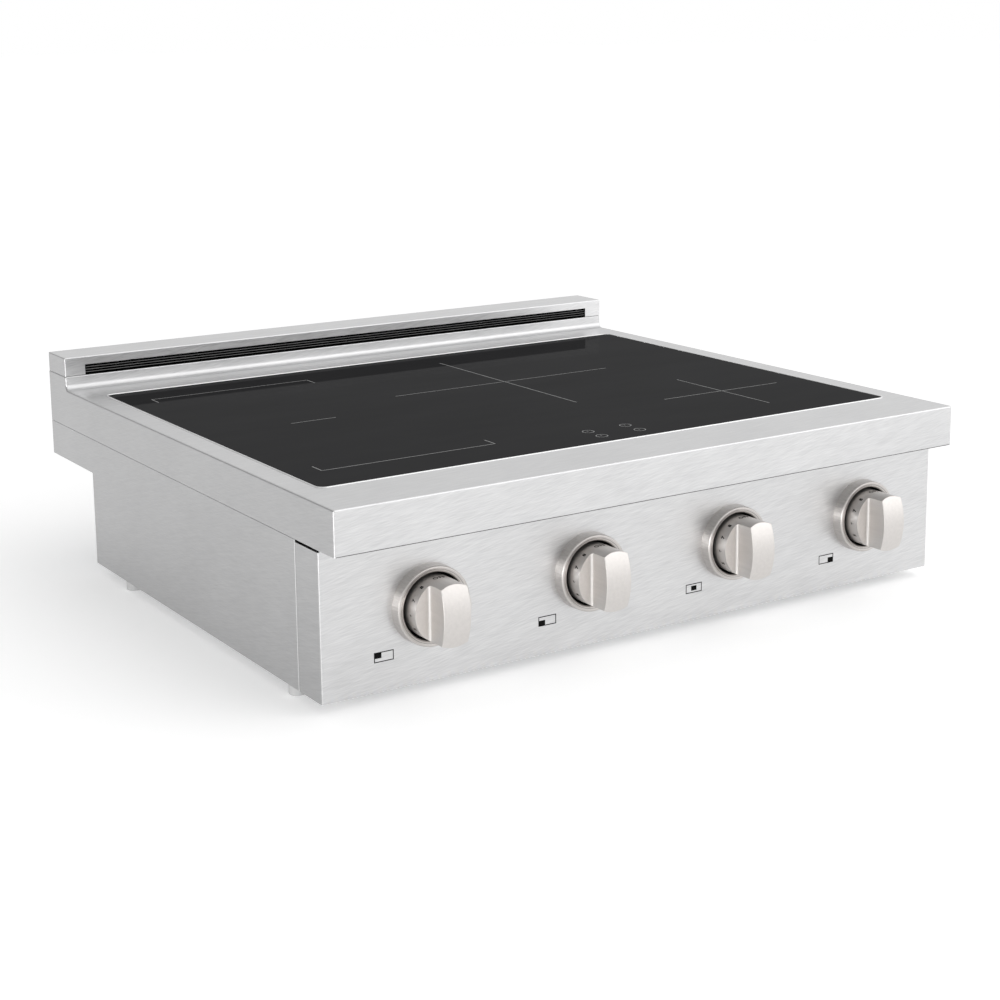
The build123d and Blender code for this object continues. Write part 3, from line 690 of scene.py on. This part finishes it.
steel = brushed_stainless("brushed_stainless")
for node in ("top_deck", "control_panel"):
    paint(node, steel)
# The cap gets a lighter copy of the steel: painted light.
paint("backguard_cap", brushed_stainless("cap_stainless", lift=CAP_PAINTED_LIGHT))
# The side panels carry a painted highlight along their front edge.
side_steel = brushed_stainless("side_stainless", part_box("side_panel_left")[0].y)
for node in ("side_panel_left", "side_panel_right"):
    paint(node, side_steel)
paint("glass_top", glass_ceramic())
paint("glass_seal", moulded("silicone_bead", (0.008, 0.008, 0.008), 0.5))
paint("vent_grille", black_louvre())
zinc = zinc_sheet()
for node in ("rear_panel", "bottom_plate"):
    paint(node, zinc)
paint("chassis_screws", mill_metal("plated_steel", (0.66, 0.66, 0.64), 0.25, (300, 300, 300)))
paint("feet", moulded("foot_rubber", (0.55, 0.55, 0.55), 0.6))
nickel = satin_nickel("satin_nickel", (0.64, 0.615, 0.595), (300.0, 25.0, 300.0))
for k in KNOBS:
    paint(f"bezel_{k}", turned_nickel(f"bezel_nickel_{k}", (0.57, 0.545, 0.525), knob_centre(k)))
    paint(f"knob_{k}", nickel)
    paint(f"knob_shaft_{k}", mill_metal("shaft_steel", (0.6, 0.6, 0.6), 0.3, (300, 300, 300)))
    paint(f"thrust_cup_{k}", moulded("nylon", (0.7, 0.69, 0.63), 0.45))
    paint(f"encoder_{k}", moulded("switch_black", (0.03, 0.03, 0.03), 0.5))
    paint(f"coil_carrier_{k}", moulded("carrier_cream", (0.62, 0.6, 0.52), 0.55))
    paint(f"coil_winding_{k}", copper_litz())
    paint(f"ferrite_bars_{k}", moulded("ferrite", (0.06, 0.06, 0.065), 0.4))
paint("mica_sheets", moulded("mica", (0.6, 0.55, 0.42), 0.5))
paint("coil_sensors", moulded("sensor_ceramic", (0.8, 0.79, 0.75), 0.35))
bare = mill_metal("mill_aluminium", (0.72, 0.73, 0.74), 0.35, (4, 240, 240))
paint("coil_tray", bare)
for side in ("left", "right"):
    paint(f"heatsink_{side}", bare)
    paint(f"fan_frame_{side}", moulded("fan_black", (0.02, 0.02, 0.02), 0.5))
    paint(f"fan_rotor_{side}", moulded("rotor_black", (0.025, 0.025, 0.027), 0.4))
    paint(f"power_board_{side}", circuit_board())
for node in ("touch_board", "control_board", "filter_board"):
    paint(node, circuit_board())
paint("terminal_block", moulded("terminal_black", (0.03, 0.03, 0.03), 0.5))

glass_marks(plain("glass_print", (0.26, 0.26, 0.26), 0.6))
touch_marks(plain("touch_print", (0.26, 0.26, 0.26), 0.6))
ink = plain("panel_print", (0.003, 0.003, 0.003), 0.8)
ink.node_tree.nodes["shader"].inputs["Specular IOR Level"].default_value = 0.1
panel_icons(ink)
# Black pieces in the bezel gaps: painted shade.
gap_shade = moulded("gap_shade_black", (0.004, 0.004, 0.004), 0.7)
gap_shade.node_tree.nodes["shader"].inputs["Specular IOR Level"].default_value = 0.1
for k in KNOBS:
    dial_marks(k, ink)
    bezel_gap_shade(k, gap_shade)
# The bead is lighter than the deck's steel: painted highlight on a real rolled edge.
rolled_edge(mill_metal("polished_edge_highlight", (0.93, 0.93, 0.93), 0.45, (60, 60, 300)))
# Dark strip under the front fold: painted shade.
skirt_edge_shade(moulded("skirt_edge_shadow", (0.10, 0.10, 0.10), 0.7))
